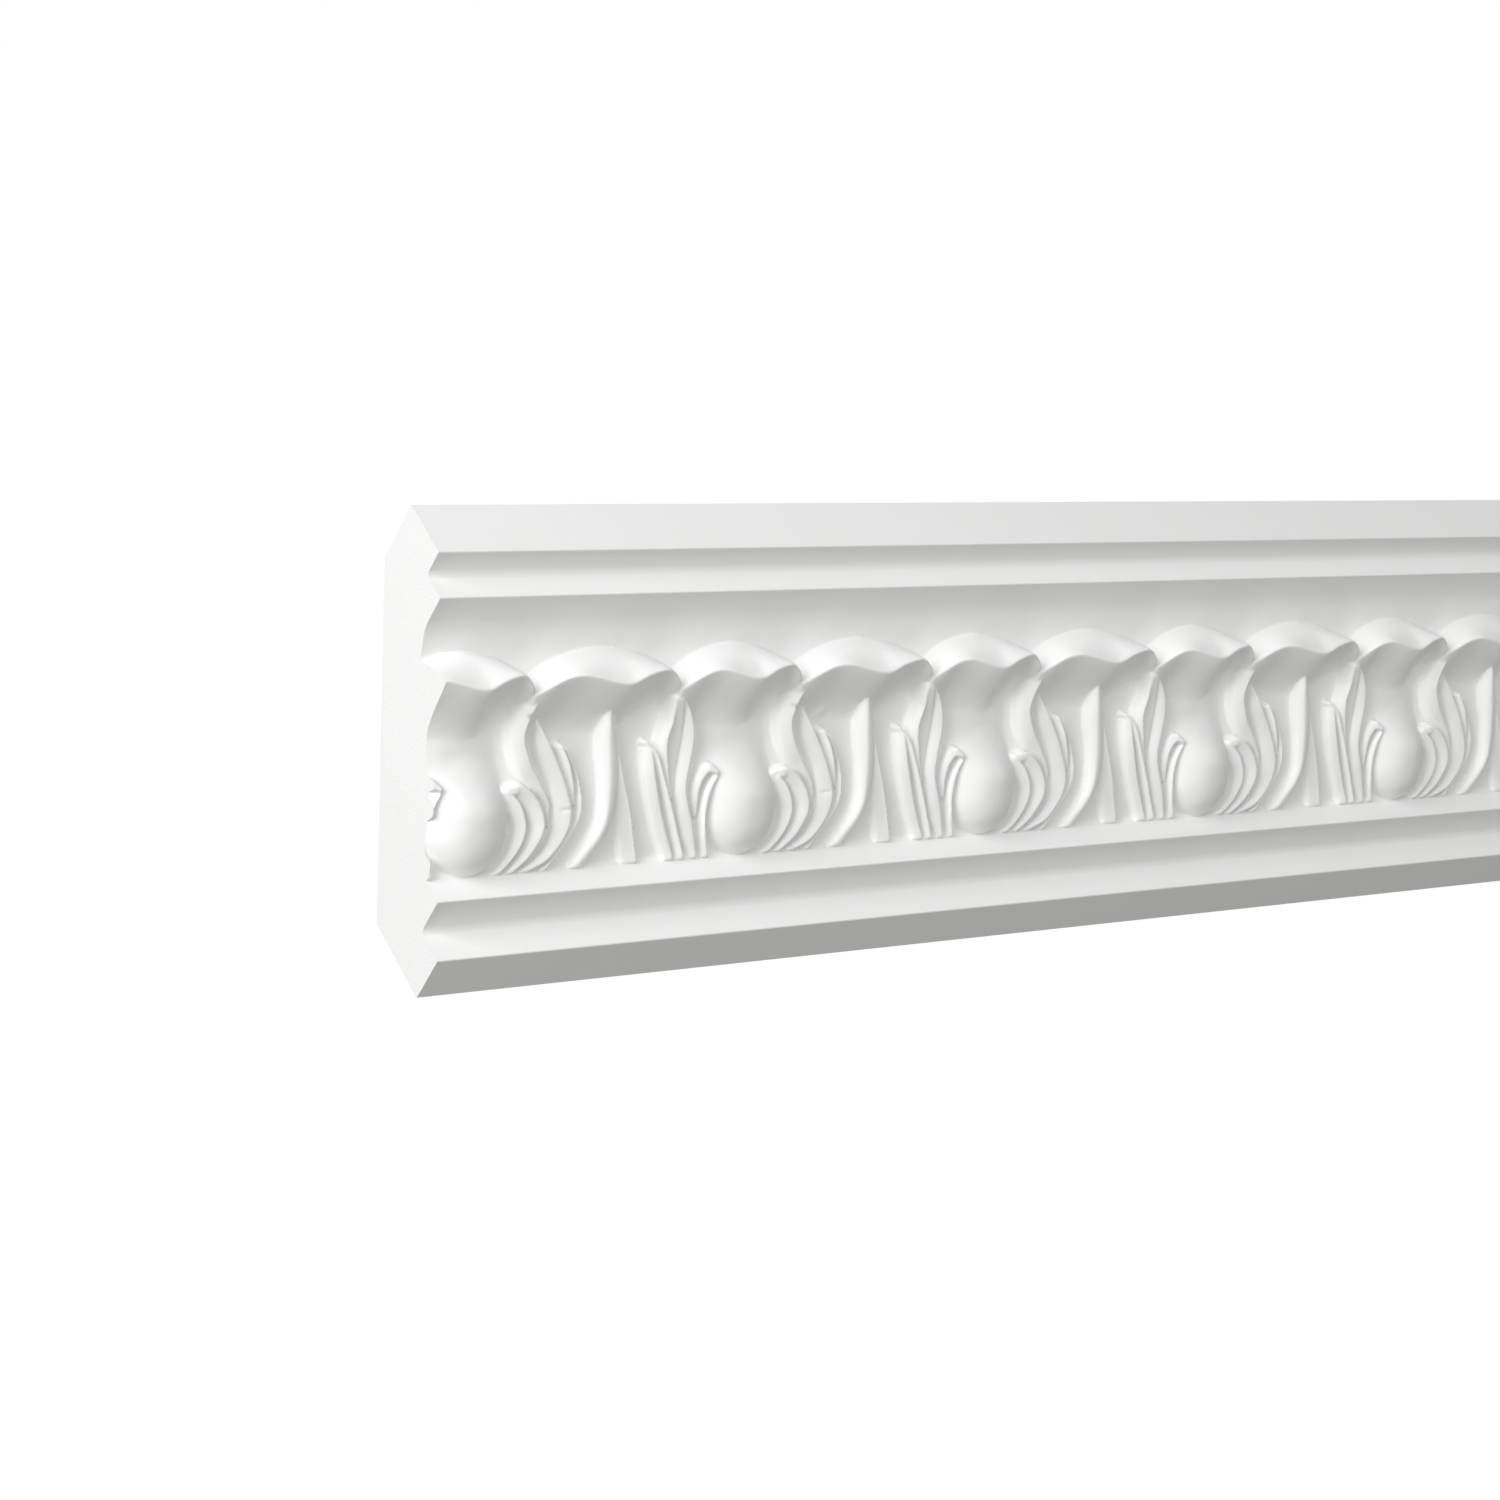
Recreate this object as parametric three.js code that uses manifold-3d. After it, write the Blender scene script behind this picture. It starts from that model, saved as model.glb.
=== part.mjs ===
// Ceiling cornice moulding, cast in rigid polyurethane, with a band of curled leaf lobes.
// Millimetres, +Z up. +X runs along the moulding, +Y goes into the wall.
// The origin is the middle of the flat face that is glued to the wall.
import * as THREE from 'three';
import { mergeVertices } from 'three/addons/utils/BufferGeometryUtils.js';
import Module from 'manifold-3d';

const wasm = await Module();
wasm.setup();

// Run of the moulding: whole repeats, so that two lengths butt with the pattern going on
const repeatLength = 73.7;
const repeatCount = 5;

// Section, measured out from the wall and up
const projection = 76.2;
const dropHeight = 72.3;
const wallFace = 21.2;
const ceilingFace = 15.4;
const footDepth = 12.1;
const footBand = 8.4;
const lowerStep = 9.3;
const lowerBand = 6.1;
const topBand = 14.4;
const upperStep = 6.7;
const upperBand = 6.9;
const soffitDepth = 7.2;
const cornerFillet = 1.5;
const filletSteps = 3;

// The carved band is drawn on a field of this size and stretched to the room that the
// section leaves between its lower and upper bands. Across is along the moulding, up is
// from the band's foot line to the soffit, and out is measured from the field's own plane.
const drawnAcross = 73.7;
const drawnUp = 54.8;

// Ground of the band and the cove above the lobes: [up, out]
const groundLine = [
  [0, 0], [1.1, -0.9], [4, -0.7], [16, 0], [26, -0.7], [34, -0.9], [43, -0.9],
];
const coveLine = [[40, -2.7], [47, -2.5], [49.8, -2], [52.7, -1.2], [54.8, 0]];

// Two lobes to a repeat, the first one over the bulb and the second one over the rib
const firstLobe = { start: -9.3, length: 34.3 };
const secondLobe = {
  start: firstLobe.start + firstLobe.length,
  length: drawnAcross - firstLobe.length,
};
// How a lobe changes from its left end, 0, to its right end, 1: [share of length, value]
const lobeRidgeUp = [
  [0, 38.9], [0.1, 41.2], [0.2, 42.7], [0.3, 42.9], [0.57, 40.7],
  [0.72, 42.5], [0.84, 43.4], [0.9, 42.8], [0.95, 41.1], [1, 38.8],
];
const lobeRidgeOut = [[0, 4.6], [0.12, 6.4], [0.35, 7.5], [0.6, 7.8], [0.84, 7.2], [0.95, 6], [1, 4.2]];
// How far down the hollow under a lobe reaches, and how fast it curves away
const lobeUndercut = [[0, 12], [0.27, 13], [0.5, 12], [0.8, 9], [1, 7]];
const undercutCurve = 1.65;
// The arch that a lobe's upper outline follows, its step down to the cove, and how round
// the lobe's top is below that outline
const lobeArch = { sideUp: 41.4, crownUp: 48.1, start: -0.02, span: 1.12, fullness: 0.95 };
const lobeRim = 0.8;
const lobeTopCurve = { shoulder: 1.25, nose: 0.85 };

// Bulb under the first lobe: a rounded foot that runs up into a broad neck
const bulb = {
  across: 10.3, up: 10.7, halfWidth: 10.2, reach: 5.9, footUp: 0.3, footCurve: 2.4,
  neckShift: -3.1, neckFrom: 12.7, neckUp: 27, neckHalfWidth: 10.6, neckReach: 1.4,
  sideCurve: 2.2, sideFullness: 0.8, neckFullness: 1.4, leastHalfWidth: 0.1,
};

// Leaf blades, root to tip: each station is [across, up, half width, rise of the crest]
const blades = {
  flame: [
    [30.5, 10, 0.5, 1.3], [30, 15, 0.7, 1.9], [26.5, 20, 1.6, 2.4], [23.5, 24, 2.3, 2.7],
    [22, 29.5, 2, 3.1], [23.2, 34, 1.9, 3.5], [25.3, 36.9, 1.2, 3.9],
  ],
  hookInner: [
    [17.5, 0.4, 0.8, 1.2], [21, 5, 1.2, 2.6], [22.7, 10, 1.7, 3.1], [21.3, 15, 1.6, 2.9],
    [18.5, 18, 0.8, 2.2],
  ],
  hookOuter: [
    [20.8, 0.4, 0.8, 1.2], [24.5, 4.5, 1.6, 2.5], [27.1, 10, 2.3, 3.1], [25.7, 15, 2.2, 3.1],
    [22.5, 18.2, 1.7, 2.9], [19.3, 18.4, 1, 2.4],
  ],
  broad: [
    [24.5, 0.4, 0.7, 1.1], [30, 3.8, 1.5, 2.1], [34.3, 11, 2.5, 2.5], [32.8, 19, 2.3, 2.5],
    [29.3, 26.8, 2.2, 2.3], [27.3, 32.8, 0.7, 1.5],
  ],
  slipInner: [
    [37.4, 14.3, 0.5, 1.5], [36.2, 19, 0.9, 2.2], [34.8, 23.3, 1.1, 2.5],
    [33.3, 26.9, 1.1, 2.1],
  ],
  slipOuter: [
    [29.8, 0.5, 0.6, 1.1], [35, 6, 0.7, 1.6], [38.5, 12, 0.8, 1.8], [38.3, 19.3, 0.6, 1.7],
    [35.8, 26.2, 0.5, 1.4],
  ],
  rib: [
    [38.6, 0.4, 1.7, 1.1], [45.1, 8.5, 2.2, 2.4], [46.9, 18, 2.8, 2.5],
    [46.8, 27, 3, 2.6], [46.4, 35, 1.5, 2.4],
  ],
  ribBack: [[54.4, 0.4, 0.8, 0.9], [52, 12, 0.8, 1.6], [48.9, 23.8, 0.8, 1.9], [47.8, 34.6, 0.6, 1.4]],
  spearLeft: [
    [64, 0.4, 1.4, 1.1], [60.3, 9.3, 1.7, 1.9], [57.9, 18.3, 1.7, 2.4], [57.3, 24, 1.4, 2.2],
    [57, 27.2, 0.5, 1.4],
  ],
  spearRight: [
    [67, 0.5, 1.2, 1.2], [63.1, 12, 1, 2.2], [60.4, 20, 0.9, 2.5], [58.7, 24.3, 1, 2.4],
    [56.6, 26.9, 0.7, 1.7],
  ],
  tallLeft: [
    [63.8, 14, 0.4, 1.4], [62.2, 20, 0.9, 2.1], [61, 26.5, 1.2, 2.7], [62.6, 31.5, 1, 3.1],
    [63.3, 36.6, 0.8, 3.7],
  ],
  tallBody: [
    [64, 14.2, 0.6, 1.2], [63.9, 21, 1.8, 1.4], [64.4, 28, 2.8, 1.8], [64.5, 32.5, 2.5, 2.8],
    [64.4, 36.3, 1.7, 3.8],
  ],
  tallRight: [
    [70.7, 0.5, 1.1, 1.1], [68.3, 7.4, 2, 2], [66.4, 16.3, 1.6, 2.4], [67.8, 27, 2.2, 2.8],
    [66.8, 33.3, 1.8, 3.2], [64.4, 36.8, 0.9, 3.7],
  ],
  curlLeft: [
    [70.8, 9.8, 0.5, 1.4], [70.3, 14, 1, 2], [71, 17.8, 1.2, 2.5], [73.2, 20.5, 1.5, 2.9],
    [75.5, 19.5, 0.7, 3.5],
  ],
  curlRight: [
    [74, 0.5, 1.1, 1.1], [72.8, 5.3, 0.9, 2], [72.6, 10.6, 0.8, 2.4], [73.4, 15.3, 0.9, 2.8],
    [75.3, 18.8, 0.6, 3.4],
  ],
};
// The back of the rib is broad to the left of its line, by this share of its half width
const ribBackLeft = 4.5;
const bladeTurnPerFacet = 22;
const bladeFewestFacets = 4;
const bladeTurnSamples = 24;
// How far the sides of a blade go down below the field's plane, to root in the ground
const bladeRoot = 3;
// Cross-section of a blade, a face that leans to the left: [share of its half width, share
// of its rise]. The rib is rounder, and the hollow of the tall leaf has a level face.
const bladeSection = [[-0.68, 0.55], [0.5, 1]];
const ownSections = {
  rib: [[-0.75, 0.75], [-0.3, 1], [0.5, 0.85]],
  tallBody: [[-0.85, 1], [0.5, 1]],
};
const tangentStep = 0.02;

// Where the facets of the carved band fall, along a lobe and up the band
const lobeStations = [0, 0.12, 0.27, 0.43, 0.59, 0.75, 0.88, 0.96];
const fieldLevels = [1.1, 5, 12.5, 22];
const undersideDrops = [6.5, 2.2];
const lobeTopShares = [0, 0.45, 0.85];
const coveLevels = [51];

const length = repeatLength * repeatCount;
const ceilingUp = dropHeight - wallFace;

// Value of a smooth curve through the knots at t
function through(knots, t) {
  const last = knots.length - 1;
  if (t <= knots[0][0]) return knots[0][1];
  if (t >= knots[last][0]) return knots[last][1];
  let i = 0;
  while (t > knots[i + 1][0]) i += 1;
  const slope = (a, b) => (knots[b][1] - knots[a][1]) / (knots[b][0] - knots[a][0]);
  const span = knots[i + 1][0] - knots[i][0];
  const m0 = slope(Math.max(i - 1, 0), i + 1) * span;
  const m1 = slope(i, Math.min(i + 2, last)) * span;
  const f = (t - knots[i][0]) / span;
  const rest = 1 - f;
  return knots[i][1] * (1 + 2 * f) * rest * rest + m0 * f * rest * rest
    + knots[i + 1][1] * f * f * (3 - 2 * f) - m1 * f * f * rest;
}

function ease(low, high, value) {
  return THREE.MathUtils.smoothstep(value, low, high);
}

// Upper outline of a lobe, where it leaves the cove
function lobeEdgeUp(t) {
  const { sideUp, crownUp, start, span, fullness } = lobeArch;
  const arch = Math.sin(Math.PI * Math.min((t - start) / span, 1));
  return sideUp + (crownUp - sideUp) * arch ** fullness;
}

function bulbOut(across, up) {
  const below = Math.min(1, Math.max(0, (bulb.up - up) / (bulb.up - bulb.footUp)));
  const foot = Math.sqrt(1 - below ** bulb.footCurve);
  const neck = ease(bulb.neckFrom, bulb.neckUp, up);
  const centre = bulb.across + bulb.neckShift * neck;
  const halfWidth = THREE.MathUtils.lerp(bulb.halfWidth, bulb.neckHalfWidth, neck) * foot;
  const reach = THREE.MathUtils.lerp(bulb.reach, bulb.neckReach, neck) * foot;
  const side = Math.abs(across - centre) / Math.max(halfWidth, bulb.leastHalfWidth);
  const fullness = THREE.MathUtils.lerp(bulb.sideFullness, bulb.neckFullness, neck);
  return side < 1 ? reach * (1 - side ** bulb.sideCurve) ** fullness : 0;
}

// How far the plain ground stands out, with the bulb on it, anywhere in the first repeat
function groundOut(across, up) {
  const nearest = across - drawnAcross * Math.round((across - bulb.across) / drawnAcross);
  return through(groundLine, up) + bulbOut(nearest, up);
}

// Points of the section that stay the same all along, from the wall's foot to the band's
// foot and from the soffit to the ceiling, as [out from the wall, up from the wall face's top]
const lowerCorner = [footDepth, footBand - wallFace];
const fieldFoot = [footDepth + lowerStep, lowerCorner[1] + lowerBand];
const upperCorner = [projection - upperStep, ceilingUp - topBand];
const fieldHead = [upperCorner[0] - soffitDepth, upperCorner[1] - upperBand];

// Hollow fillet in an inner corner, from a riser below to a soffit that runs outwards
function filletPoints([out, up]) {
  const points = [];
  for (let i = 0; i <= filletSteps; i += 1) {
    const turn = (Math.PI / 2) * (i / filletSteps);
    const back = cornerFillet * (1 - Math.sin(turn));
    const drop = cornerFillet * (1 - Math.cos(turn));
    points.push([out + drop, up - back]);
  }
  return points;
}

const lowerSection = [
  [0, -wallFace],
  [footDepth, -wallFace],
  ...filletPoints(lowerCorner),
  [fieldFoot[0], lowerCorner[1]],
];
const upperSection = [
  [upperCorner[0], fieldHead[1]],
  ...filletPoints(upperCorner),
  [projection, upperCorner[1]],
  [projection, ceilingUp],
];
const backSection = [
  [projection - ceilingFace, ceilingUp],
  [0, 0],
];

// The carved field's own directions: up it, and out of it towards the room
const fieldSpan = new THREE.Vector2(fieldHead[0] - fieldFoot[0], fieldHead[1] - fieldFoot[1]);
const fieldUp = fieldSpan.clone().normalize();
const fieldOut = new THREE.Vector2(fieldUp.y, -fieldUp.x);
const upScale = fieldSpan.length() / drawnUp;
const acrossScale = repeatLength / drawnAcross;

// A point of the section at x, in the part's frame
function sectionPoint(x, [out, up]) {
  return [x, -out, up + wallFace / 2];
}

// A point of the carved field, from its drawn place, in the part's frame
function fieldPoint(across, up, out) {
  const x = across * acrossScale - length / 2;
  return sectionPoint(x, [
    fieldFoot[0] + (fieldUp.x * up + fieldOut.x * out) * upScale,
    fieldFoot[1] + (fieldUp.y * up + fieldOut.y * out) * upScale,
  ]);
}

// One column of facets up the carved field, at share t of a lobe: [up, out] for each level
function fieldColumn(across, t) {
  const ridgeUp = through(lobeRidgeUp, t);
  const ridgeOut = through(lobeRidgeOut, t);
  const edgeUp = lobeEdgeUp(t);
  const edgeOut = through(coveLine, edgeUp) + lobeRim;
  const under = (up) => {
    const drop = Math.min((ridgeUp - up) / through(lobeUndercut, t), 1);
    const fall = (1 - drop) ** undercutCurve;
    const ground = groundOut(across, up);
    return ground + (ridgeOut - ground) * fall;
  };
  const top = (share) => {
    const fullness = (1 - share ** lobeTopCurve.shoulder) ** lobeTopCurve.nose;
    return edgeOut + (ridgeOut - edgeOut) * fullness;
  };
  return [
    [0, 0],
    ...fieldLevels.map((up) => [up, under(up)]),
    ...undersideDrops.map((drop) => [ridgeUp - drop, under(ridgeUp - drop)]),
    ...lobeTopShares.map((share) => [ridgeUp + (edgeUp - ridgeUp) * share, top(share)]),
    [edgeUp, edgeOut],
    ...coveLevels.map((up) => [up, through(coveLine, up)]),
    [drawnUp, 0],
  ];
}

// Columns of the carved field over one repeat more than the moulding at each end
function fieldColumns() {
  const columns = [];
  for (let repeat = -1; repeat <= repeatCount; repeat += 1) {
    for (const lobe of [firstLobe, secondLobe]) {
      for (const t of lobeStations) {
        const across = lobe.start + lobe.length * t;
        const place = across + repeat * drawnAcross;
        columns.push(fieldColumn(across, t).map(([up, out]) => fieldPoint(place, up, out)));
      }
    }
  }
  return columns;
}

// Joins two rows of vertex numbers with triangles; a plain row has only its two ends
function joinRows(lower, upper, faces) {
  if (lower.length === upper.length) {
    for (let i = 0; i + 1 < lower.length; i += 1) {
      faces.push([lower[i], lower[i + 1], upper[i + 1]], [lower[i], upper[i + 1], upper[i]]);
    }
    return;
  }
  const fine = lower.length > upper.length ? lower : upper;
  const [first, last] = fine === lower ? upper : lower;
  const middle = Math.floor(fine.length / 2);
  for (let i = 0; i + 1 < fine.length; i += 1) {
    const apex = i < middle ? first : last;
    const face = fine === lower ? [fine[i], fine[i + 1], apex] : [fine[i + 1], fine[i], apex];
    faces.push(face);
  }
  const bridge = fine === lower ? [first, fine[middle], last] : [fine[middle], first, last];
  faces.push(bridge);
}

function solidFrom(points, faces) {
  return new wasm.Manifold(new wasm.Mesh({
    numProp: 3,
    vertProperties: new Float32Array(points.flat()),
    triVerts: new Uint32Array(faces.flat()),
  }));
}

// The run of moulding without its blades, longer than needed at both ends
function buildRun() {
  const columns = fieldColumns();
  const ends = [columns[0][0][0], columns[columns.length - 1][0][0]];
  const points = [];
  const addRow = (row) => row.map((point) => points.push(point) - 1);
  const plainRow = (corner) => addRow(ends.map((x) => sectionPoint(x, corner)));
  const rows = [
    ...lowerSection.map(plainRow),
    ...columns[0].map((_, level) => addRow(columns.map((column) => column[level]))),
    ...upperSection.map(plainRow),
    ...backSection.map(plainRow),
  ];
  const faces = [];
  rows.forEach((row, i) => joinRows(row, rows[(i + 1) % rows.length], faces));
  const outline = rows.map((row) => new THREE.Vector2(points[row[0]][1], points[row[0]][2]));
  for (const [a, b, c] of THREE.ShapeUtils.triangulateShape(outline, [])) {
    faces.push([rows[a][0], rows[c][0], rows[b][0]]);
    faces.push([rows[a].at(-1), rows[b].at(-1), rows[c].at(-1)]);
  }
  return solidFrom(points, faces);
}

// Place, half width and rise of a blade at t, which counts its stations from 0
function bladeAt(stations, t) {
  const [across, up, half, rise] = [0, 1, 2, 3].map((column) => {
    return through(stations.map((station, i) => [i, station[column]]), t);
  });
  return { centre: new THREE.Vector2(across, up), half, rise };
}

function bladeHeading(stations, t) {
  const before = bladeAt(stations, Math.max(t - tangentStep, 0)).centre;
  const after = bladeAt(stations, Math.min(t + tangentStep, stations.length - 1)).centre;
  return after.sub(before).normalize();
}

// Number of facets along a blade, from how far its path turns
function bladeFacets(stations) {
  const last = stations.length - 1;
  let turn = 0;
  for (let i = 0; i < bladeTurnSamples; i += 1) {
    const here = bladeHeading(stations, (last * i) / bladeTurnSamples);
    const next = bladeHeading(stations, (last * (i + 1)) / bladeTurnSamples);
    turn += Math.abs(Math.atan2(here.cross(next), here.dot(next)));
  }
  return Math.max(bladeFewestFacets, Math.ceil(turn / THREE.MathUtils.degToRad(bladeTurnPerFacet)));
}

// One leaf blade: a ridge along its path, whose sides go down into the ground
function buildBlade(name, repeat) {
  const stations = blades[name];
  const leftShare = name === 'ribBack' ? ribBackLeft : 1;
  const section = [[-1, 0], ...(ownSections[name] ?? bladeSection), [1, 0]];
  const facets = bladeFacets(stations);
  const points = [];
  const rings = [];
  for (let step = 0; step <= facets; step += 1) {
    const t = ((stations.length - 1) * step) / facets;
    const { centre, half, rise } = bladeAt(stations, t);
    const along = bladeHeading(stations, t);
    const ring = section.map(([side, share]) => {
      const halfWidth = side < 0 ? half * leftShare : half;
      const across = centre.x + along.y * halfWidth * side + repeat * drawnAcross;
      const up = centre.y - along.x * halfWidth * side;
      const out = share > 0 ? rise * share : -bladeRoot;
      return points.push(fieldPoint(across, up, out)) - 1;
    });
    rings.push(ring);
  }
  const faces = [];
  for (let step = 0; step < facets; step += 1) {
    const [near, far] = [rings[step], rings[step + 1]];
    near.forEach((a, i) => {
      const next = (i + 1) % near.length;
      faces.push([a, near[next], far[next]], [a, far[next], far[i]]);
    });
  }
  const [root, tip] = [rings[0], rings[facets]];
  for (let i = 1; i + 1 < root.length; i += 1) {
    faces.push([root[0], root[i + 1], root[i]], [tip[0], tip[i], tip[i + 1]]);
  }
  return solidFrom(points, faces);
}

// A square-cut length: everything that lies between the two end planes
function cutBox() {
  const clearance = 2;
  const reach = 2 * clearance * Math.max(projection, dropHeight);
  const box = new THREE.BoxGeometry(length, reach, reach);
  box.deleteAttribute('normal');
  box.deleteAttribute('uv');
  const merged = mergeVertices(box);
  return new wasm.Manifold(new wasm.Mesh({
    numProp: 3,
    vertProperties: merged.attributes.position.array,
    triVerts: new Uint32Array(merged.index.array),
  }));
}

function buildMoulding() {
  let solid = buildRun();
  for (let repeat = -1; repeat <= repeatCount; repeat += 1) {
    for (const name of Object.keys(blades)) {
      solid = solid.add(buildBlade(name, repeat));
    }
  }
  const { vertProperties, triVerts } = solid.intersect(cutBox()).getMesh();
  const geometry = new THREE.BufferGeometry();
  geometry.setAttribute('position', new THREE.BufferAttribute(vertProperties, 3));
  geometry.setIndex(new THREE.BufferAttribute(triVerts, 1));
  geometry.computeVertexNormals();
  return geometry;
}

const primedPolyurethane = new THREE.MeshStandardMaterial({
  color: 0xf4f4f2,
  roughness: 0.6,
  metalness: 0,
});

const moulding = new THREE.Mesh(buildMoulding(), primedPolyurethane);
moulding.name = 'cornice_moulding';

const cornice = new THREE.Group();
cornice.add(moulding);
export default cornice;
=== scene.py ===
import math

import bpy
import numpy as np
from mathutils import Matrix, Vector


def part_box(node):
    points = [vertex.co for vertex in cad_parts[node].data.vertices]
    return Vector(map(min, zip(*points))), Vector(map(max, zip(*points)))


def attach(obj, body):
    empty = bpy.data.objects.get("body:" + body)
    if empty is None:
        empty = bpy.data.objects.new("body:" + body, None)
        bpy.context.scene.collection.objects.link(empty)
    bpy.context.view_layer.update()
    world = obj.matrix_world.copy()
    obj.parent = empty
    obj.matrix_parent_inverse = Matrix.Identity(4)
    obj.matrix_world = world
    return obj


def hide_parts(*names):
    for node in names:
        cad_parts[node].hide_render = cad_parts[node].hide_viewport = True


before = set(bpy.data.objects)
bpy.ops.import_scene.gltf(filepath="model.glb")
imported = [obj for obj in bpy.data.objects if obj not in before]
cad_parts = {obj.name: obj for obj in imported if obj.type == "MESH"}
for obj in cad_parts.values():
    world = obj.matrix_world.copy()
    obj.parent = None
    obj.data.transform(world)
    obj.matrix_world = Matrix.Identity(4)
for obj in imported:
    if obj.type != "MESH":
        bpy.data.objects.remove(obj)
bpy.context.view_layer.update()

mm = 0.001  # sizes below are in millimetres, the scene is in metres
nodeName = "cornice_moulding"
nodeLow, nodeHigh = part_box(nodeName)

# run of the moulding: the frame gives its length, which holds whole repeats of the pattern
run = {"repeatCount": 5, "length": (nodeHigh.x - nodeLow.x) / mm}

# section, out from the wall and up, as the solid has it
section = {
    "projection": 76.2,
    "dropHeight": 72.3,
    "wallFace": 21.2,
    "ceilingFace": 15.4,
    "footDepth": 12.1,
    "footBand": 8.4,
    "lowerStep": 9.3,
    "lowerBand": 6.1,
    "topBand": 14.4,
    "upperStep": 6.7,
    "upperBand": 6.9,
    "soffitDepth": 7.2,
    "cornerFillet": 1.5,  # hollow corners, soft from the mould
    "edgeRadius": 0.35,  # outer edges, eased by the primer
    "arcSteps": 4,
    "sharpAngle": 50,  # degrees; an edge that turns more than this is shaded sharp
}

# carved band, drawn on its own field: across, up from the foot line, out from the field
band = {
    "drawnAcross": 73.7,
    "drawnUp": 54.8,
    "pitch": 0.26,  # spacing of the modelling grid
    "groundLine": [(0, 0), (1.1, -0.9), (4, -0.7), (16, 0), (26, -0.7), (34, -0.9), (43, -0.9)],
    "coveLine": [(40, -2.7), (47, -2.5), (49.8, -2), (52.7, -1.2), (54.8, 0)],
    "coveBlend": (40, 46),  # the ground goes over into the cove between these two heights
    "grooveSoftness": 0.2,  # how round the bottom of a groove is
    "footRound": 1.2,  # the relief rounds down to the foot line over this height
    "trianglesKept": 186000,
}

# the upper outline is an arch from side to side; the ridge is the lip that rolls out below it
lobes = {
    "firstRun": (-9.3, 34.3),  # start and length of the first of the two in a repeat
    "ridgeUp": [
        (0, 38.9), (0.1, 41.2), (0.2, 42.7), (0.3, 42.9), (0.57, 40.7),
        (0.72, 42.5), (0.84, 43.4), (0.9, 42.8), (0.95, 41.1), (1, 38.8),
    ],
    "ridgeOut": [(0, 4.6), (0.12, 6.4), (0.35, 7.5), (0.6, 7.8), (0.84, 7.2), (0.95, 6), (1, 4.2)],
    "undercut": [(0, 12), (0.27, 13), (0.5, 12), (0.8, 9), (1, 7)],  # how far down it reaches
    "undercutCurve": 1.65,  # how fast the underside falls back from the lip
    "lipSoftness": 1.25,
    "sideUp": 41.4,
    "crownUp": 48.1,
    "archStart": -0.02,
    "archSpan": 1.12,
    "archFullness": 0.95,
    "shoulder": 1.25,
    "nose": 0.85,
    "endFrom": 0.975,  # share of the length where the right end starts to round off
    "startFrom": -0.04,  # share of the length where the left end is down on the cove
    "rim": 0.8,  # step from the upper outline down to the cove
    "lineDepth": 0.5,  # fine line drawn inside the upper outline
    "lineDown": 1.2,
    "lineHalf": 0.26,
    "lineEnd": (0.7, 0.95),  # shares of the length between which the line fades out
}

# rounded foot under the first lobe, which runs up into a broad flat neck
bulb = {
    "across": 10.3,
    "up": 10.7,
    "halfWidth": 10.2,
    "leastHalfWidth": 0.1,
    "reach": 5.9,
    "footUp": 0.3,
    "footCurve": 2.4,
    "neckShift": -3.1,
    "neckFrom": 12.7,
    "neckUp": 27,
    "neckHalfWidth": 10.6,
    "neckReach": 1.4,
    "sideCurve": 2.2,
    "sideFullness": 0.8,
    "neckFullness": 1.4,
}

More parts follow.
